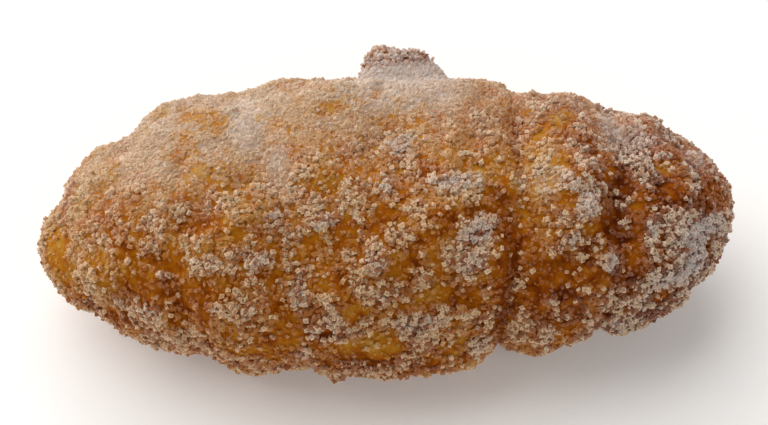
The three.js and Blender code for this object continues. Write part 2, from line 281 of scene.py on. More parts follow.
# What each place below is given: reaches and x in millimetres, and degrees from the front upwards
PLACE_VALUES = ("x", "degrees", "along", "around", "strength", "browning")
STRANDS = {
    "left strand": (-41.8, 19, 1.8, 6.0, 0.8),
    "right strand": (-37.9, 20, 2.2, 8.0, 1.0),
}
# The darkest browning below, on the grooves, the fold line, the heels, the shaded left edge and the dark
# side of the right end, is painted shade
BARE_PLACES = {
    "left end of the arc behind the left shoulder": (-40.5, 124, 2.8, 2.4, 0.8, 0.22),
    "right end of that arc": (-34.1, 109, 2.1, 2.5, 0.9, 0.2),
    "middle of that arc": (-37.4, 120, 3.0, 2.6, 1.0, 0.2),
    "orange spot below the arc": (-40.9, 105, 1.7, 3.0, 0.6, 0.3),
    "brown spot below that": (-42.2, 95, 1.7, 1.8, 0.6, 0.5),
    "gold on the left shoulder": (-37.5, 82, 3.0, 1.3, 1, 0.1),
    "brown spot under the left shoulder": (-42.3, 69, 2.8, 1.4, 0.4, 0.55),
    "orange back of the left outer wrap": (-52.1, 72, 2.6, 3.2, 0.5, 0.5),
    "brown back of the left end": (-58.6, 66, 3.0, 4.0, 0.4, 0.6),
    "shaded left edge": (-66.8, 128, 1.5, 3.3, 0.3, 0.75),
    "left tip": (-69.9, 48, 2.1, 3.9, 0.75, 0.25),
    "under the left tip": (-68.2, 17, 3.0, 2.3, 0.6, 0.4),
    "crease on the left outer wrap": (-53.2, 46, 2.6, 1.2, 1.2, 0.62),
    "above the crease": (-49.5, 54, 3.4, 1.1, 0.5, 0.55),
    "orange side of the second left groove": (-38.7, 55, 4.7, 1.9, 0.45, 0.55),
    "gold beside it": (-32.5, 48, 3.2, 1.7, 0.4, 0.3),
    "top of the amber hollow": (-45.0, 38, 3.9, 1.8, 0.75, 0.5),
    "amber hollow on the left outer wrap": (-49.3, 26, 5.1, 2.8, 1.2, 0.55),
    "right end of the amber hollow": (-41.6, 30, 2.6, 2.3, 0.6, 0.5),
    "left strand": (-41.8, 19, 1.3, 5.5, 0.6, 0.65),
    "right strand": (-37.9, 20, 1.7, 7.4, 0.95, 0.7),
    "amber right of the strands": (-34.9, 30, 1.7, 2.3, 0.9, 0.5),
    "orange shoulder of the left inner wrap": (-26.7, 77, 2.8, 2.6, 0.2, 0.25),
    "amber foot of the left inner wrap": (-22.3, 14, 2.6, 4.8, 0.9, 0.52),
    "left end of that foot": (-26.5, 1, 4.3, 2.9, 0.75, 0.48),
    "crevice on the left heel": (-28.4, -2, 1.7, 0.7, 0.4, 0.9),
    "shadowed left heel": (-62.8, -10, 3.4, 2.1, 0.3, 0.85),
    "next to the left heel": (-55.8, -2, 3.0, 1.7, 0.3, 0.8),
    "pit on the crown": (-11.3, 114, 3.0, 1.9, 1, 0.3),
    "pit below the tongue": (-1.6, 123, 1.9, 1.4, 0.8, 0.5),
    "orange spot on the crown": (0.5, 103, 1.3, 1.4, 0.6, 0.5),
    "gold left of the middle": (-13.1, 71, 2.8, 3.0, 0.75, 0.25),
    "orange above the middle": (-1.2, 82, 3.2, 2.8, 0.15, 0.45),
    "amber below the left gold": (-10.2, 48, 2.6, 2.4, 0.6, 0.5),
    "amber by the third left groove": (-16.5, 45, 1.5, 2.6, 0.75, 0.52),
    "orange spot in the middle": (-1.2, 54, 2.8, 1.8, 1.1, 0.62),
    "brown above it": (1.7, 64, 2.8, 1.3, 0.5, 0.65),
    "deep amber below the middle": (-11.5, 30, 1.7, 2.3, 0.7, 0.62),
    "line over the fold": (-14.8, 24, 4.7, 0.5, 0.5, 0.85),
    "gold right of the fold": (-9.6, 21, 2.1, 2.0, 0.6, 0.35),
    "orange strip in the middle": (-4.1, 47, 2.1, 1.3, 0.5, 0.6),
    "amber above the belly": (0.9, 35, 3.4, 2.0, 0.5, 0.42),
    "amber right of it": (6.8, 45, 1.9, 1.9, 0.65, 0.5),
    "brown right of the middle": (9.1, 53, 3.4, 1.9, 0.4, 0.7),
    "orange on the right crown": (16.8, 77, 2.6, 1.7, 0.35, 0.42),
    "brown by the first right groove": (21.1, 61, 3.0, 2.0, 0.35, 0.7),
    "brown below the crown band": (16.4, 53, 2.6, 1.8, 0.35, 0.7),
    "yellow hollow on the belly": (7.6, 22, 3.6, 1.6, 1.4, 0.25),
    "amber end of the hollow": (13.7, 19, 3.0, 1.5, 1.2, 0.55),
    "amber strip under the hollow": (-1.9, 11, 3.0, 1.4, 0.5, 0.5),
    "pale dough at the foot": (-4.4, 5, 4.3, 3.2, 0.95, 0.1),
    "left of the pale dough": (-10.9, 6, 3.4, 2.4, 0.4, 0.25),
    "first right groove": (22.3, 39, 1.9, 7.9, 0.6, 0.86),
    "foot of the first right groove": (20.6, 12, 1.7, 8.2, 0.5, 0.9),
    "low end of the golden patch": (31.8, 100, 1.7, 2.3, 1.1, 0.2),
    "golden patch on the right inner wrap": (35.6, 109, 2.6, 2.5, 1.1, 0.2),
    "high end of the golden patch": (38.4, 114, 1.7, 2.4, 0.9, 0.35),
    "pale shoulder of the right inner wrap": (30.6, 76, 4.3, 6.2, 0.05, 0.12),
    "orange spot on that shoulder": (34.7, 76, 1.5, 1.7, 0.5, 0.4),
    "orange below the shoulder": (29.2, 47, 2.6, 4.7, 0.15, 0.4),
    "right of it": (33.8, 57, 1.9, 1.5, 0.5, 0.42),
    "amber strip on the right inner wrap": (31.3, 27, 4.7, 3.3, 0.95, 0.68),
    "foot of the amber strip": (28.5, 16, 1.7, 4.6, 0.75, 0.7),
    "right end of the amber strip": (38.9, 24, 2.1, 1.7, 0.8, 0.7),
    "gold beside the second right groove": (38.9, 44, 1.9, 1.7, 1, 0.34),
    "second right groove": (43.5, 45, 1.9, 4.7, 0.6, 0.87),
    "top of the second right groove": (45.7, 64, 1.9, 3.1, 0.5, 0.85),
    "back of the second right groove": (44.7, 77, 2.1, 1.9, 0.4, 0.7),
    "orange right of the groove": (49.9, 55, 1.7, 2.6, 0.6, 0.5),
    "gold back of the right end": (56.4, 79, 2.6, 2.0, 0.3, 0.3),
    "brown on the right end": (56.6, 63, 3.4, 2.4, 0.7, 0.75),
    "dark side of the right end": (60.1, 54, 3.4, 1.7, 0.6, 0.88),
    "right tip": (68.9, 65, 2.1, 3.1, 0.6, 0.66),
    "brown below the groove": (47.8, 31, 1.5, 2.3, 0.6, 0.62),
    "amber foot of the right end": (53.6, 7, 2.4, 2.1, 0.7, 0.6),
    "amber foot of the right inner wrap": (33.6, -6, 2.4, 2.3, 0.6, 0.45),
    "green spot under the tongue": (5.2, 134, 1.7, 1.9, 0.3, 0),
}
SUGAR_HEAPS = {
    "clump over the strands": (-37.0, 39, 2.6, 2.2, 0.6),
    "clump right of the strands": (-35.5, 30, 1.5, 1.4, 1),
    "clump below it": (-36.3, 23, 1.7, 1.4, 0.8),
    "clump in the amber hollow": (-45.9, 32, 1.9, 1.4, 0.7),
    "clump on the left heel": (-49.3, 13, 3.0, 2.1, 0.6),
    "clump on the left inner wrap": (-29.1, 22, 2.8, 1.9, 0.6),
    "yellow clump beside the third left groove": (-26.6, 39, 2.4, 2.0, 0.5),
    "over the third left groove": (-23.6, 58, 1.7, 1.9, 0.8),
    "third left groove": (-20.5, 43, 1.3, 6.0, 0.25),
    "foot of the third left groove": (-19.1, 28, 1.7, 3.2, 0.6),
    "below the middle of the left inner wrap": (-29.5, 40, 4.5, 3.5, 0.25),
    "fold on the middle wrap": (-15.4, 18, 6.0, 3.3, 0.3),
    "rim of the foot": (-20.0, 4, 1.7, 3.1, 0.6),
    "clump left of the middle": (-13.9, 54, 2.6, 1.3, 0.8),
    "white streak in the middle": (-1.4, 66, 1.9, 2.7, 0.8),
    "clump below the middle": (-4.7, 37, 1.7, 2.2, 1),
    "pale patch on the crown": (2.9, 91, 4.0, 3.2, 0.9),
    "spot on the belly": (-3.9, 24, 1.7, 2.1, 0.6),
    "white band on the crown": (12.8, 67, 6.4, 2.0, 0.9),
    "ring right of the middle": (18.8, 50, 2.1, 1.5, 0.5),
    "clump right of the middle": (15.6, 44.5, 3.4, 2.3, 1.3),
    "below that clump": (14.8, 33, 3.2, 2.7, 0.9),
    "clump on the belly": (4.1, 12, 5.1, 2.2, 0.8),
    "rim over the right heel": (15.8, -4, 3.4, 2.9, 0.8),
    "band beside the second right groove": (38.4, 54, 2.1, 3.9, 1),
    "high end of that band": (35.9, 66, 1.9, 1.8, 0.6),
    "low end of that band": (35.6, 41, 1.1, 1.5, 1),
    "right of that band's high end": (40.4, 71, 2.4, 2.8, 0.5),
    "clump below the second right groove": (42.5, 28, 1.5, 2.3, 1.1),
    "clump on the right outer wrap": (51.6, 40, 1.5, 2.2, 0.7),
    "heap on the right end": (62.0, 35, 4.3, 3.1, 1.2),
    "below that heap": (60.2, 22, 3.9, 2.2, 1.1),
    "foot of that heap": (55.0, 17, 4.3, 1.8, 0.8),
    "clump on the amber strip": (30.1, 18, 1.7, 1.5, 1),
    "clump right of the strip's foot": (37.4, 9, 2.4, 1.8, 0.35),
    "heel of the right inner wrap": (29.9, -5, 1.9, 3.7, 0.5),
    "heel of the right outer wrap": (44.6, -9, 2.8, 2.5, 0.6),
    "right edge": (67.9, 36, 1.7, 3.5, 0.5),
    "face of the tongue": (4.5, 140, 11.0, 4.5, 0.7),
}
HAZE_PLACES = {
    "top of the third left groove": (-28.2, 115, 4.3, 10.5, 0.38),
    "back of the left outer wraps": (-42.0, 105, 14.0, 14.0, 0.12),
    "middle of the third left groove": (-22.3, 82, 2.8, 6.6, 0.3),
    "low third left groove": (-19.9, 47, 1.9, 8.6, 0.1),
    "fold on the middle wrap": (-15.4, 18, 6.4, 4.1, 0.2),
    "left end groove": (-59.6, 56, 1.9, 6.5, 0.12),
    "left heel": (-57.6, 14, 5.6, 2.7, 0.3),
    "face of the tongue": (4.5, 140, 12.0, 5.5, 0.6),
    "back of the second right groove": (47.0, 110, 2.6, 8.6, 0.25),
    "back of the right outer wrap": (52.9, 107, 4.7, 5.5, 0.15),
    "back of the right end": (66.0, 105, 3.4, 6.0, 0.25),
    "crown band": (12.8, 67, 7.3, 2.7, 0.1),
    "crown under the tongue": (4.0, 122, 13.0, 5.0, 0.35),
    "fore foot": (-44.0, -7, 8.6, 2.3, 0.25),
    "shoulder of the right inner wrap": (31, 66, 4.5, 5.0, 0.3),
}


def view_axes():
    """The camera's right, up and backward directions at the photograph's view."""
    back = Vector(
        (
            math.sin(AZIMUTH) * math.cos(ELEVATION),
            -math.cos(AZIMUTH) * math.cos(ELEVATION),
            math.sin(ELEVATION),
        )
    )
    right = Vector((math.cos(AZIMUTH), math.sin(AZIMUTH), 0))
    return right, back.cross(right), back


def put_in_scene(name, data):
    """A new object with the given data, in the scene."""
    thing = bpy.data.objects.new(name, data)
    bpy.context.scene.collection.objects.link(thing)
    return thing


def make_camera():
    """The camera at the photograph's viewing angle."""
    right, up, back = view_axes()
    data = bpy.data.cameras.new("camera")
    data.sensor_width = SENSOR
    data.lens = LENS
    data.clip_start = NEAREST_SEEN
    camera = put_in_scene("camera", data)
    target = LOOK_AT + right * FRAME_SHIFT[0] + up * FRAME_SHIFT[1]
    camera.location = target + back * DISTANCE
    camera.rotation_mode = "QUATERNION"
    camera.rotation_quaternion = back.to_track_quat("Z", "Y")
    bpy.context.scene.camera = camera


def area_light(name, place, size, energy, colour):
    """A soft square light that faces the pastry."""
    data = bpy.data.lights.new(name, "AREA")
    data.shape = "SQUARE"
    data.size = size
    data.energy = energy
    data.color = colour
    light = put_in_scene(name, data)
    light.location = place
    light.rotation_mode = "QUATERNION"
    light.rotation_quaternion = (Vector(place) - LOOK_AT).to_track_quat("Z", "Y")


def make_light():
    """A wide soft light from behind on the left, a weak one in front, and even light all round."""
    for name, light in LIGHTS.items():
        area_light(name, **light)
    world = bpy.data.worlds.new("studio")
    world.use_nodes = True
    backdrop = world.node_tree.nodes["Background"]
    backdrop.inputs["Color"].default_value = BACKDROP_COLOUR
    backdrop.inputs["Strength"].default_value = BACKDROP_STRENGTH
    bpy.context.scene.world = world
    bpy.context.scene.view_settings.view_transform = "Standard"


def new_material(name):
    """A material, its nodes and its shader."""
    material = bpy.data.materials.new(name)
    material.use_nodes = True
    tree = material.node_tree
    return material, tree, tree.nodes["Principled BSDF"]


def make_floor():
    """A plain pale floor, which gives off a little light of its own."""
    mesh = bpy.data.meshes.new("floor")
    half = FLOOR_HALF_SIDE
    corners = [(-half, -half, 0), (half, -half, 0), (half, half, 0), (-half, half, 0)]
    mesh.from_pydata(corners, [], [(0, 1, 2, 3)])
    material, _, shader = new_material("floor")
    shader.inputs["Base Color"].default_value = FLOOR_COLOUR
    shader.inputs["Emission Color"].default_value = BACKDROP_COLOUR
    shader.inputs["Emission Strength"].default_value = FLOOR_GLOW
    shader.inputs["Roughness"].default_value = 0.7
    shader.inputs["Specular IOR Level"].default_value = 0.1
    mesh.materials.append(material)
    floor = put_in_scene("floor", mesh)


def smoothstep(low, high, value):
    """0 below low, 1 above high, and smooth between them. Works downwards too."""
    t = np.clip((value - low) / (high - low), 0, 1)
    return t * t * (3 - 2 * t)


def weighted(shares, parts):
    """The sum of the parts, each times its share."""
    return sum(share * parts[name] for name, share in shares.items())


def scrambled(cells, seed):
    """A number from -1 to 1 for each cell, as good as random."""
    x, y, z = (cells * CELL_FACTORS).T
    mixed = (x ^ y ^ z ^ (seed * SEED_FACTOR)) & WORD
    for shift, factor in MIXES:
        mixed = ((mixed ^ (mixed >> shift)) * factor) & WORD
    return (mixed ^ (mixed >> 16)) / 2**31 - 1


def lattice_noise(points, size, seed):
    """Smooth random values from -1 to 1, one for each point, with swells of the given size."""
    place = points / size
    cell = np.floor(place).astype(np.int64)
    part = smoothstep(0, 1, place - cell)
    total = np.zeros(len(points))
    for corner in range(8):
        step = np.array([corner & 1, corner >> 1 & 1, corner >> 2 & 1])
        weight = np.prod(np.where(step, part, 1 - part), axis=1)
        total += weight * scrambled(cell + step, seed)
    return total


def crust_noise(points, name):
    """One of the crust's noises, from -1 to 1, with finer and weaker layers on top."""
    size, seed, layers = NOISES[name]
    total = np.zeros(len(points))
    reach = 0
    for i in range(layers):
        share = LAYER_SHARE**i
        total += share * lattice_noise(points, size / 2**i, seed + LAYER_SEED_STEP * i)
        reach += share
    return total / reach


class Surface:
    """A triangle mesh as arrays: points, faces and, worked out from them, normals and edges."""

    def __init__(self, points, faces):
        self.points = points
        self.faces = faces
        edges = np.concatenate([faces[:, [0, 1]], faces[:, [1, 2]], faces[:, [2, 0]]])
        self.edges = np.unique(np.sort(edges, axis=1), axis=0)
        self.degree = np.bincount(self.edges.ravel(), minlength=len(points))[:, None]

    def neighbour_mean(self, values):
        """The mean of each point's neighbours."""
        total = np.zeros_like(values)
        for k in range(values.shape[1]):
            for near, far in (self.edges.T, self.edges.T[::-1]):
                total[:, k] += np.bincount(near, values[far, k], len(values))
        return total / self.degree

    def smoothed(self, values, passes):
        """The points' values, drawn towards their neighbours' again and again."""
        for _ in range(passes):
            values = 0.5 * values + 0.5 * self.neighbour_mean(values)
        return values

    def normals(self):
        """The outward direction at each point."""
        a, b, c = (self.points[self.faces[:, k]] for k in range(3))
        across = np.cross(b - a, c - a)
        total = np.zeros_like(self.points)
        for k in range(3):
            for axis in range(3):
                total[:, axis] += np.bincount(self.faces[:, k], across[:, axis], len(total))
        return total / np.maximum(np.linalg.norm(total, axis=1, keepdims=True), 1e-12)


def remeshed_surface(node):
    """The solid's form with an even, fine mesh."""
    work = put_in_scene("remesh_work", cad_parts[node].data.copy())
    remesh = work.modifiers.new("remesh", "REMESH")
    remesh.mode = "VOXEL"
    remesh.voxel_size = VOXEL
    evaluated = work.evaluated_get(bpy.context.evaluated_depsgraph_get())
    mesh = evaluated.to_mesh()
    mesh.calc_loop_triangles()
    points = np.empty(len(mesh.vertices) * 3)
    mesh.vertices.foreach_get("co", points)
    faces = np.empty(len(mesh.loop_triangles) * 3, np.int32)
    mesh.loop_triangles.foreach_get("vertices", faces)
    evaluated.to_mesh_clear()
    bpy.data.objects.remove(work)
    return Surface(points.reshape(-1, 3), faces.reshape(-1, 3))


def from_axis(places):
    """The angle round the roll, from the front upwards, and the distance from the roll's axis."""
    up = places[:, 2] - ROLL_AXIS_HEIGHT
    return np.arctan2(up, -places[:, 1]), np.hypot(places[:, 1], up)


def in_patches(places, patches):
    """How far inside each of the patches each point lies, from 0 to 1, one column for a patch."""
    angle, radius = from_axis(places)
    shares = []
    for x, degrees, along, around, *_ in patches.values():
        turn = angle - math.radians(degrees)
        turn -= 2 * math.pi * np.round(turn / (2 * math.pi))
        far = ((places[:, 0] - x) / along) ** 2 + (turn * radius / around) ** 2
        shares.append(np.exp(-(far**1.5)))
    return np.stack(shares, axis=1)


def column(patches, name):
    """One value of every patch."""
    place = PLACE_VALUES.index(name)
    return np.array([patch[place] for patch in patches.values()])


class CrustCoat:
    """What the crust's relief and colours depend on, with one value for each of its points."""

    def __init__(self, places, hollows):
        self.places = places  # in millimetres
        self.hollows = hollows  # millimetres below the smoothed surface
        moves = [crust_noise(places, f"ragged along {axis}") for axis in "xyz"]
        self.ragged = places + RAGGED_REACH * np.stack(moves, axis=1)
        self.rim = smoothstep(*RIM_FROM, from_axis(places)[1])
        self.in_bare = in_patches(self.ragged, BARE_PLACES)
        in_heaps = in_patches(self.ragged, SUGAR_HEAPS)
        self.heaps = in_heaps @ column(SUGAR_HEAPS, "strength")
        self.in_places = np.minimum(self.in_bare.sum(axis=1) + in_heaps.sum(axis=1), 1)
        self.hazier = in_patches(self.ragged, HAZE_PLACES) @ column(HAZE_PLACES, "strength")
        haze = self.haze_with_painted_light()
        self.bare = self.in_bare @ column(BARE_PLACES, "strength") * (1 - BARE_LOST_IN_HAZE * haze)
        self.thin_dust = THIN_DUST * smoothstep(*THIN_DUST_FROM, haze)
        self.haze = np.clip(haze - HAZE_LOST_WHERE_BARE * self.bare - HAZE_LOST_ON_RIM * self.rim, 0, 1)
        from_crack = np.abs(crust_noise(self.ragged, "cracks"))
        self.cracks = smoothstep(*CRACK_FROM, from_crack) * (1 - self.haze)
        self.flakes = self.dough_flakes()
        noises = {size: crust_noise(places, f"{size} bits of sugar") for size in BITS_OF_SUGAR}
        self.bits = weighted(BITS_OF_SUGAR, noises)
        self.sugar = self.sugar_thickness()

    def haze_with_painted_light(self):
        """Fine sugar: thick at the back, on the left and high up, and thin on the low back. Its growth
        towards the back, the left and the top, where the light comes from, is partly painted light.
        """
        x, y, z = self.places.T
        haze = HAZE_IN_MIDDLE + y / HAZE_TOWARDS_BACK - x / HAZE_TOWARDS_LEFT
        haze += (z - HAZE_MIDDLE_HEIGHT) / HAZE_UPWARDS
        haze -= HAZE_LOST_LOW_AT_BACK * smoothstep(*LOW_FROM, z) * smoothstep(*BACK_FROM, y)
        return np.minimum(np.clip(haze, HAZE_LEAST, HAZE_MOST) + self.hazier, 1)

    def dough_flakes(self):
        """The flaky edges of the wraps, and the strands of dough on the left."""
        x = self.places[:, 0]
        angle, radius = from_axis(self.places)
        lean = WRAP_LEAN * np.cos(angle + LEAN_TURN) * np.clip(-x / LEAN_GROWS_IN, LEAN_AT_RIGHT, 1)
        along_wraps = np.stack([x - lean, angle * radius / FLAKE_ROUND, radius / FLAKE_DEEP], axis=1)
        strands = in_patches(self.ragged, STRANDS) @ column(STRANDS, "strength")
        flaky = smoothstep(*FLAKY_FROM, crust_noise(self.places, "flaky areas")) * FLAKY_MOST + strands
        return crust_noise(along_wraps, "flakes") * flaky

    def sugar_thickness(self):
        """How thick the sugar lies, where 1 is a full coat."""
        free = 1 - NOISE_LOST_IN_PLACES * self.in_places
        parts = {
            "everywhere": 1,
            "haze": self.haze,
            "hazy places": self.hazier,
            "patches": free * crust_noise(self.places, "patches of sugar"),
            "clumps": free * crust_noise(self.places, "clumps of sugar"),
            "hollows": self.hollows,
            "heaps": np.minimum(self.heaps, HEAP_MOST),
            "bare": self.bare,
            "cracks": self.cracks,
            "rim": self.rim,
        }
        return weighted(SUGAR_PARTS, parts)

    def browning(self):
        """How brown the dough is, from 0 to 1, with painted shade in its hollows and towards the right end,
        and painted light that makes it paler under the haze. Bare places have a browning of their own.
        """
        parts = {
            "everywhere": 1,
            "wide noise": crust_noise(self.places, "wide browning"),
            "close noise": crust_noise(self.places, "close browning"),
            "right end": smoothstep(*BROWN_AND_SHADED_END_FROM, self.places[:, 0]),
            "haze": self.haze,
            "hollows": self.hollows,
            "flakes": self.flakes,
            "cracks": self.cracks,
            "rim": self.rim,
        }
        brown = weighted(BROWNING_PARTS, parts)
        given = self.in_bare.sum(axis=1)
        tone = (self.in_bare @ column(BARE_PLACES, "browning")) / np.maximum(given, 1e-6)
        brown += OWN_BROWNING * np.minimum(given, 1) * (tone - brown)
        return np.clip(brown, 0, 1)

    def relief(self):
        """How far the crust stands out from the smoothed surface, in millimetres."""
        parts = {
            "flakes": self.flakes,
            "blisters": crust_noise(self.places, "blisters"),
            "pits": smoothstep(*PIT_FROM, crust_noise(self.places, "pits")),
            "crumb": crust_noise(self.places, "crumb"),
        }
        relief = weighted(RELIEF_PARTS, parts) * (1 - RELIEF_LOST_WHERE_BARE * np.clip(self.bare, 0, 1))
        lumps = smoothstep(*LUMP_FROM, self.sugar) * (LUMP_HEIGHT + LUMP_SWELL * self.bits)
        relief += lumps * (1 - smoothstep(*LUMP_LOST_FROM, self.haze))
        return relief * smoothstep(*RELIEF_FROM, self.places[:, 2])

    def looks(self):
        """The values that the colours of the crust and of the grains on it are made from."""
        parts = {
            "haze": self.haze,
            "heaps": self.heaps,
            "hazy places": self.hazier,
            "right end": smoothstep(*CLEAN_END_FROM, self.places[:, 0]),
        }
        dust = smoothstep(*SUGAR_DUST_FROM, self.sugar + BITS_IN_DUST * self.bits)
        dust *= smoothstep(*HAZY_DUST_FROM, self.haze)
        return {
            "browning": self.browning(),
            "sugar": self.sugar,
            "lumpy": self.sugar + BITS_IN_LUMPS * self.bits,
            "haze": self.haze,
            "clean": np.clip(weighted(CLEANNESS_PARTS, parts), 0, 1),
            "dust": np.maximum(dust, self.thin_dust),
            "bare": np.clip(self.bare, 0, 1),
        }


def crust_surface():
    """The crust with its fine relief, what its looks depend on, and where its wraps face."""
    crust = remeshed_surface(NODE)
    crust.points = crust.smoothed(crust.points, SMOOTHING_PASSES)
    normals = crust.normals()
    soft = crust.smoothed(crust.points, CAVITY_PASSES)
    facing = Surface(soft, crust.faces).normals()
    hollows = np.sum((soft - crust.points) * normals, axis=1) / MM
    coat = CrustCoat(crust.points / MM, hollows)
    crust.points = crust.points + normals * (coat.relief() * MM)[:, None]
    crust.points[:, 2] = np.maximum(crust.points[:, 2], 0)
    return crust, coat.looks(), facing


def mesh_from(name, points, faces):
    """A mesh from arrays of points and faces."""
    mesh = bpy.data.meshes.new(name)
    mesh.from_pydata(points.tolist(), [], faces.tolist())
    mesh.update()
    return mesh


def add_attribute(mesh, name, values):
    """A value at each point of the mesh, for its material."""
    layer = mesh.attributes.new(name, "FLOAT", "POINT")
    layer.data.foreach_set("value", values.astype(np.float32))


def add_map(mesh, places):
    """The mesh's map for baking, from the places of its faces' corners on a square."""
    layer = mesh.uv_layers.new(name="OFBake")
    layer.data.foreach_set("uv", places.astype(np.float32).ravel())


def make_piece(mesh, material):
    """A visible piece from a mesh, with its material."""
    mesh.materials.append(material)
    piece = put_in_scene(mesh.name, mesh)
    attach(piece, "root")
    return piece


def attribute(tree, name):
    """A value that the mesh has at each point."""
    node = tree.nodes.new("ShaderNodeAttribute")
    node.attribute_name = name
    return node.outputs["Fac"]


def noise(tree, scale, detail):
    """Noise in the piece's own coordinates, with scale in swells per metre."""
    place = tree.nodes.new("ShaderNodeTexCoord").outputs["Object"]
    node = tree.nodes.new("ShaderNodeTexNoise")
    node.inputs["Scale"].default_value = scale
    node.inputs["Detail"].default_value = detail
    tree.links.new(place, node.inputs["Vector"])
    return node.outputs["Fac"]


def mapped(tree, value, given, wanted):
    """A value moved from the given range to the wanted one, and held inside it."""
    node = tree.nodes.new("ShaderNodeMapRange")
    for name, number in zip(("From Min", "From Max", "To Min", "To Max"), (*given, *wanted)):
        node.inputs[name].default_value = number
    tree.links.new(value, node.inputs["Value"])
    return node.outputs["Result"]


def combined(tree, operation, a, b):
    """Two values as one."""
    node = tree.nodes.new("ShaderNodeMath")
    node.operation = operation
    tree.links.new(a, node.inputs[0])
    tree.links.new(b, node.inputs[1])
    return node.outputs["Value"]


def mixed_colour(tree, share, a, b):
    """Colour a, or b where the share is 1. Each is a socket or a plain colour."""
    node = tree.nodes.new("ShaderNodeMix")
    node.data_type = "RGBA"
    tree.links.new(share, node.inputs["Factor"])
    for name, colour in (("A", a), ("B", b)):
        socket = next(s for s in node.inputs if s.name == name and s.type == "RGBA")
        if isinstance(colour, tuple):
            socket.default_value = (*colour, 1)
        else:
            tree.links.new(colour, socket)
    return next(s for s in node.outputs if s.type == "RGBA")


def fried_colour(tree, browning):
    """The fried dough's colour for its browning."""
    ramp = tree.nodes.new("ShaderNodeValToRGB")
    while len(ramp.color_ramp.elements) < len(BROWNING):
        ramp.color_ramp.elements.new(0.5)
    for element, (at, colour) in zip(ramp.color_ramp.elements, BROWNING):
        element.position = at
        element.color = (*colour, 1)
    tree.links.new(browning, ramp.inputs["Fac"])
    return ramp.outputs["Color"]


def dust_colour(tree):
    """The colour of fine sugar dust, which is whiter where it lies thick."""
    thick = mapped(tree, attribute(tree, "clean"), (0.55, 1), (0, 1))
    return mixed_colour(tree, thick, SUGAR_DUST, SUGAR_FROST)


def crust_material():
    """Fried dough, browner and paler in places, under a dust of broken sugar."""
    material, tree, shader = new_material("fried_crust")
    shader.inputs["Specular IOR Level"].default_value = 0.03
    speckle = mapped(tree, noise(tree, scale=420, detail=3), (0.3, 0.7), (-0.2, 0.2))
    fleck = mapped(tree, noise(tree, scale=1900, detail=3), (0.35, 0.65), (-0.06, 0.06))
    mottle = combined(tree, "ADD", speckle, fleck)
    browning = combined(tree, "ADD", attribute(tree, "browning"), mottle)
    grit = mapped(tree, noise(tree, scale=1400, detail=2), (0.38, 0.62), (0, 1))
    dust = mapped(tree, combined(tree, "ADD", attribute(tree, "dust"), grit), (1, 2), (0, 1))
    colour = mixed_colour(tree, dust, fried_colour(tree, browning), dust_colour(tree))
    tree.links.new(colour, shader.inputs["Base Color"])
    tree.links.new(mapped(tree, dust, (0, 1), (0.5, 0.8)), shader.inputs["Roughness"])
    bump = tree.nodes.new("ShaderNodeBump")
    bump.inputs["Strength"].default_value = 0.5
    bump.inputs["Distance"].default_value = 0.3 * MM
    tree.links.new(noise(tree, scale=1500, detail=4), bump.inputs["Height"])
    tree.links.new(bump.outputs["Normal"], shader.inputs["Normal"])
    return material


def edge_share(tree):
    """How near a point of a facet is to the facet's edges, from 0 in its middle to 1 at an edge."""
    place = tree.nodes.new("ShaderNodeUVMap")
    place.uv_map = "OFBake"
    parts = tree.nodes.new("ShaderNodeSeparateXYZ")
    tree.links.new(place.outputs["UV"], parts.inputs["Vector"])
    nearness = []
    for side, facets in (("X", FACET_COLUMNS * CELLS), ("Y", FACET_ROWS * CELLS)):
        wave = tree.nodes.new("ShaderNodeMath")
        wave.operation = "PINGPONG"
        wave.inputs[1].default_value = 0.5 / facets
        tree.links.new(parts.outputs[side], wave.inputs[0])
        nearness.append(mapped(tree, wave.outputs["Value"], (0, 0.5 / facets), (1, 0)))
    return combined(tree, "MAXIMUM", *nearness)


def sugar_material():
    """Sugar crystals, which let the crust below show through, with painted highlights that whiten their
    facets' edges.
    """
    material, tree, shader = new_material("sugar")
    shader.inputs["Roughness"].default_value = 0.3
    shader.inputs["Specular IOR Level"].default_value = 0.3
    shader.inputs["Subsurface Weight"].default_value = 0.8
    shader.inputs["Subsurface Radius"].default_value = (1.0, 0.75, 0.55)
    shader.inputs["Subsurface Scale"].default_value = 0.4 * MM
    below = fried_colour(tree, attribute(tree, "browning"))
    below = mixed_colour(tree, attribute(tree, "dust"), below, dust_colour(tree))
    own = mixed_colour(tree, attribute(tree, "clean"), SUGAR_OILY, SUGAR_CLEAN)
    # Painted highlight: each facet is whiter towards its edges
    edges = mapped(tree, edge_share(tree), (0.3, 1), (0.6, 1.6))
    white = combined(tree, "MULTIPLY", attribute(tree, "white"), edges)
    colour = mixed_colour(tree, mapped(tree, white, (0, 1), (0, 1)), below, own)
    tree.links.new(colour, shader.inputs["Base Color"])
    return material


def add_crust_map(mesh, crust, facing):
    """Each face is seen from the high or low side of the axis that it faces most."""
    facing = facing[crust.faces].sum(axis=1)
    axis = np.abs(facing).argmax(axis=1)
    high = np.take_along_axis(facing, axis[:, None], axis=1)[:, 0] > 0
    corners = crust.points[crust.faces] / MM
    places = np.zeros((len(corners), 3, 2))
    for view in CRUST_VIEWS.values():
        seen = (axis == view["axis"]) & (high == view["high"])
        places[seen] = corners[seen][:, :, view["across"]] + view["place"]
    add_map(mesh, places / CRUST_VIEWS_SIDE)


def make_crust():
    """The crust piece, which stands for the solid."""
    crust, values, facing = crust_surface()
    mesh = mesh_from("crust", crust.points, crust.faces)
    mesh.polygons.foreach_set("use_smooth", np.ones(len(mesh.polygons), bool))
    add_attribute(mesh, "browning", values["browning"])
    add_attribute(mesh, "dust", 2 * values["dust"])
    add_attribute(mesh, "clean", values["clean"])
    add_crust_map(mesh, crust, facing)
    piece = make_piece(mesh, crust_material())
    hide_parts(NODE)
    return crust, values


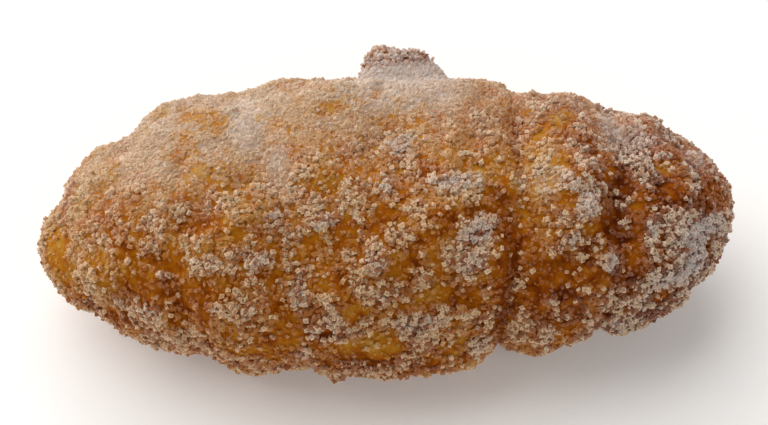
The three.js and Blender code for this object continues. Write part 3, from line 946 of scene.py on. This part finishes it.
def random_turns(draw, count):
    """Evenly spread random rotations, as matrices."""
    q = draw.normal(size=(count, 4))
    q /= np.linalg.norm(q, axis=1, keepdims=True)
    w, x, y, z = q.T
    rows = [
        [1 - 2 * (y * y + z * z), 2 * (x * y - w * z), 2 * (x * z + w * y)],
        [2 * (x * y + w * z), 1 - 2 * (x * x + z * z), 2 * (y * z - w * x)],
        [2 * (x * z - w * y), 2 * (y * z + w * x), 1 - 2 * (x * x + y * y)],
    ]
    return np.stack([np.stack(row, 1) for row in rows], 1)


def grain_corners(sizes, draw):
    """The corners of turned, uneven crystals round their middles."""
    count = len(sizes)
    corners = CUBE[None] * (1 + draw.uniform(*CORNER_OUT, size=(count, len(CUBE), 1)))
    corners = corners + draw.uniform(*CORNER_ASIDE, size=(count, len(CUBE), 3))
    stretch = draw.uniform(*STRETCH, size=(count, 1, 3))
    corners = corners * stretch * sizes[:, None, None]
    return np.einsum("nij,nkj->nki", random_turns(draw, count), corners)


def grains_mesh(name, places, corners):
    """The crystals as one mesh, none of them below the table."""
    points = (corners + places[:, None, :]).reshape(-1, 3)
    points[:, 2] = np.maximum(points[:, 2], 0)
    faces = (CUBE_FACES[None] + len(CUBE) * np.arange(len(places))[:, None, None]).reshape(-1, 4)
    return mesh_from(name, points, faces)


def soften_shading(mesh, normals, facets):
    """Each facet's shading blended with the crust's, of which facets gives its share for each grain."""
    flat = np.empty(len(mesh.polygons) * 3)
    mesh.polygons.foreach_get("normal", flat)
    share = np.repeat(facets, len(CUBE_FACES))[:, None]
    soft = share * flat.reshape(-1, 3) + (1 - share) * np.repeat(normals, len(CUBE_FACES), axis=0)
    soft /= np.maximum(np.linalg.norm(soft, axis=1, keepdims=True), 0.01)
    mesh.normals_split_custom_set(np.repeat(soft, 4, axis=0).tolist())


def add_grain_map(mesh, count):
    """Each grain has a square of its own, and each facet a part of it."""
    grain = np.arange(count)
    cell = np.stack([grain % CELLS, grain // CELLS], axis=1)[:, None, None, :]
    parts = np.array([FACET_COLUMNS, FACET_ROWS])
    facet = np.arange(FACET_COLUMNS * FACET_ROWS)
    start = np.stack([facet % FACET_COLUMNS, facet // FACET_COLUMNS], axis=1) / parts
    corner = np.array([[0, 0], [1, 0], [1, 1], [0, 1]]) / parts
    add_map(mesh, (cell + start[None, :, None, :] + corner[None, None]) / CELLS)


def scatter(crust, weights, count, draw):
    """Random places on the crust, thicker where the weights are high: points, normals, faces."""
    corners = crust.points[crust.faces]
    across = np.cross(corners[:, 1] - corners[:, 0], corners[:, 2] - corners[:, 0])
    area = np.linalg.norm(across, axis=1)
    total = np.cumsum(area * weights[crust.faces].mean(axis=1))
    picks = np.searchsorted(total, draw.uniform(0, total[-1], count))
    u, v = draw.uniform(size=(2, count, 1))
    over = u + v > 1
    u, v = np.where(over, 1 - u, u), np.where(over, 1 - v, v)
    a, b, c = (corners[picks, k] for k in range(3))
    return a + u * (b - a) + v * (c - a), across[picks] / area[picks, None], picks


def grain_density(crust, values):
    """How close together the grains lie over the crust, for each way of lying."""
    haze = values["haze"]
    covered = smoothstep(*COVER_FROM, values["sugar"])
    density = {}
    for lies, by in LYING_FLAT.items():
        density[lies] = by["anywhere"] + covered * (by["covered"] + by["hazy"] * haze)
    for lies, by in LYING_PILED.items():
        out_of_haze = np.clip(by["less_haze"] - HAZE_OVER_PILES * haze, 0, 1)
        density[lies] = (by["anywhere"] + smoothstep(*by["lumps_from"], values["lumpy"])) * out_of_haze
    off_table = smoothstep(*GRAINS_FROM, crust.points[:, 2] / MM)
    return {lies: share * off_table for lies, share in density.items()}


def bright_grains(here, often, draw):
    """Which grains catch the light: often those in heaps and of clean sugar, the others seldom."""
    clean = here["clean"]
    in_lumps = BRIGHT_IN_LUMPS * smoothstep(*BRIGHT_LUMPS_FROM, here["lumpy"])
    chance = often + in_lumps * (BRIGHT_IF_OILY + BRIGHT_IF_CLEAN * clean)
    most = BRIGHT_MOST + BRIGHT_MOST_IF_CLEAN * clean
    return draw.uniform(0, 1, len(clean)) < np.minimum(chance, most)


def whiteness(here, is_bright, rise, draw):
    """How much of its colour each corner of the grains has from the sugar itself."""
    count = len(is_bright)
    milky, clean = here["milky"], here["clean"]
    spread = 1 - SPREAD_LOST_IN_HAZE * milky
    at_right = smoothstep(*RIGHT_FROM, here["x"])
    strong = STRONG + STRONG_MORE_AT_RIGHT * at_right - STRONG_LESS_IN_HAZE * milky
    strong = strong + draw.uniform(-STRONG_SPREAD, STRONG_SPREAD, count) * spread
    thick = FAINT_WHERE_THIN + FAINT_WHERE_THICK * smoothstep(*THICK_FROM, here["lumpy"])
    faint = draw.uniform(0, FAINT_MOST, count) * thick + FAINT_MORE_IN_HAZE * milky
    white = np.where(is_bright, strong, faint) * (WHITE_IF_OILY + WHITE_MORE_IF_CLEAN * clean)
    white = white * (1 - LOST_WHERE_BARE * here["bare"])
    corners = CORNER_RISE * rise + draw.uniform(-CORNER_SPREAD, CORNER_SPREAD, rise.shape)
    corners = CORNER_MIDDLE + corners * spread[:, None]
    return white[:, None] * np.clip(corners, *CORNER_RANGE)


def make_grains(name, kind, crust, values, density, material, draw):
    """One kind of grain as one piece."""
    count = kind["count"]
    places, normals, picks = scatter(crust, density, count, draw)
    here = {look: value[crust.faces[picks]].mean(axis=1) for look, value in values.items()}
    sizes = draw.uniform(*kind["size"], count) * MM
    lift = LIFT_LEAST + draw.uniform(0, LIFT_SPREAD, count) ** 2 * kind["piled"]
    places = places + normals * (sizes * lift)[:, None]
    here["x"] = places[:, 0] / MM
    here["milky"] = smoothstep(*MILKY_FROM, here["haze"])
    corners = grain_corners(sizes, draw)
    rise = np.einsum("nij,nj->ni", corners, normals) / sizes[:, None]
    mesh = grains_mesh(name, places, corners)
    soften_shading(mesh, normals, FACET_SHARE - FACET_SHARE_LOST_IN_HAZE * here["milky"])
    add_grain_map(mesh, count)
    is_bright = bright_grains(here, kind["bright"], draw)
    add_attribute(mesh, "white", whiteness(here, is_bright, rise, draw).ravel())
    add_attribute(mesh, "dust", np.repeat(DUST_ON_GRAINS * here["dust"], len(CUBE)))
    add_attribute(mesh, "clean", np.repeat(here["clean"], len(CUBE)))
    # painted shade on the dull grains between bright ones in lumps
    shaded = PAINTED_SHADE_IN_LUMPS * (1 - is_bright) * smoothstep(*PAINTED_SHADE_FROM, here["lumpy"])
    browning = here["browning"] + shaded * (1 - here["milky"])
    browning = browning[:, None] - BROWN_LESS_WITH_RISE * rise
    add_attribute(mesh, "browning", np.clip(browning, 0, 1).ravel())
    piece = make_piece(mesh, material)
    piece.visible_shadow = kind["bright"] > 0  # the clear crystals let the light through


def make_sugar(crust, values):
    """Every kind of grain on the crust."""
    draw = np.random.default_rng(SEED)
    material = sugar_material()
    density = grain_density(crust, values)
    for name, kind in GRAIN_KINDS.items():
        make_grains(name, kind, crust, values, density[kind["lies"]], material, draw)


make_camera()
make_light()
make_floor()
crust, values = make_crust()
make_sugar(crust, values)
